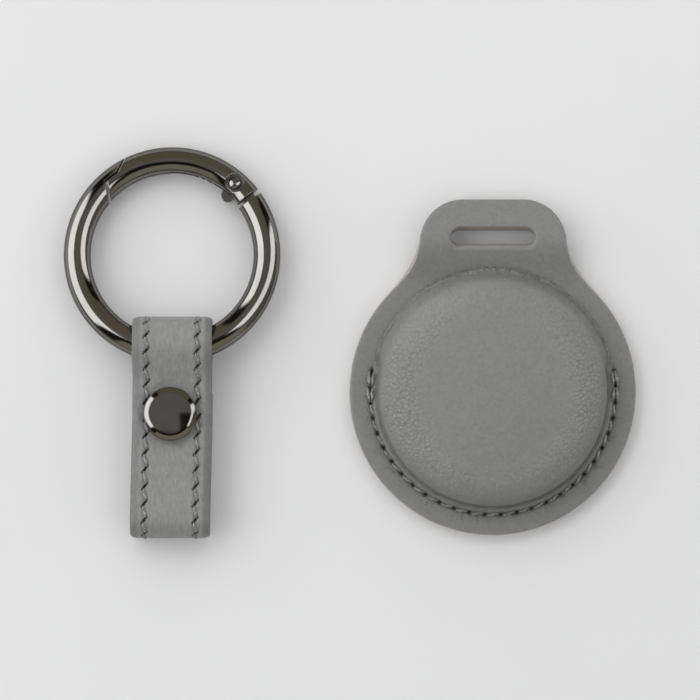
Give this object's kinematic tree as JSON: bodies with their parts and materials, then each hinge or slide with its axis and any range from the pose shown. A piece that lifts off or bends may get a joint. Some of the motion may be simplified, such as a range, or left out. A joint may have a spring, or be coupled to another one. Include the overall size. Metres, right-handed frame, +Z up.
{
  "type": "tracker tag holder",
  "caption": "Grey leather tracker tag pouch with a slotted tab and an open mouth, and a press-stud leather strap on a round spring gate ring.",
  "frame": {"origin": "centre of the object's box at table level, between the pouch on +X and the strap on -X", "axes": "+X from the strap to the pouch, +Y towards the ring's nose and the pouch's tab, +Z up from the table"},
  "size_m": [0.0878, 0.06, 0.0108],
  "materials": {
    "leather": "smooth grey leather with a soft sheen",
    "lining": "matte grey lining leather",
    "thread": "twisted dark grey thread",
    "gunmetal": "polished gunmetal plating",
    "spring_steel": "plain steel",
    "tag_plastic": "plain white",
    "board": "circuit board"
  },
  "bodies": {
    "pouch": {"back_panel": "leather", "front_panel_lower": "leather", "pouch_stitches_front": "thread", "pouch_stitches_back": "thread", "tracker_shell": "tag_plastic", "circuit_board": "board", "battery_frame": "tag_plastic", "coin_cell": "spring_steel", "battery_cover": "spring_steel"},
    "pouch_flap": {"front_panel_flap": "leather"},
    "strap_tail": {"tail_face": "leather", "tail_lining": "lining", "tail_stitches": "thread", "snap_stud": "gunmetal", "snap_post": "gunmetal", "fold_face": "leather", "fold_lining": "lining"},
    "strap": {"strap_face": "leather", "strap_lining": "lining", "strap_stitches": "thread", "snap_cap": "gunmetal", "snap_socket": "gunmetal", "snap_spring": "spring_steel"},
    "ring": {"ring_body": "gunmetal", "gate_pin": "gunmetal"},
    "gate": {"gate": "gunmetal", "gate_spring": "spring_steel"}
  },
  "joints": [
    {"name": "mouth_open", "type": "hinge", "parent": "pouch", "child": "pouch_flap", "pos_m": [0.0219, -0.0044, 0.01075], "axis": [1, 0, 0], "range_deg": [0, 30], "stiffness_Nm_per_rad": 0.01},
    {"name": "strap_lift", "type": "slide", "parent": "pouch", "child": "strap_tail", "axis": [0, 0, 1], "range_m": [0, 0.06]},
    {"name": "snap_open", "type": "hinge", "parent": "strap_tail", "child": "strap", "pos_m": [-0.0275, -0.0266, 0.00342], "axis": [1, 0, 0], "range_deg": [0, 100], "deforming": ["fold_face", "fold_lining", "snap_spring"]},
    {"name": "ring_swing", "type": "hinge", "parent": "strap", "child": "ring", "pos_m": [-0.0273, -0.0003, 0.00427], "axis": [1, 0, 0], "range_deg": [0, 150]},
    {"name": "gate_open", "type": "hinge", "parent": "ring", "child": "gate", "pos_m": [-0.01768, 0.02429, 0.00234], "axis": [0, 0.0786, 0.9969], "range_deg": [0, 26], "stiffness_Nm_per_rad": 0.02, "springref_deg": -28.65, "deforming": ["gate_spring"]}
  ]
}
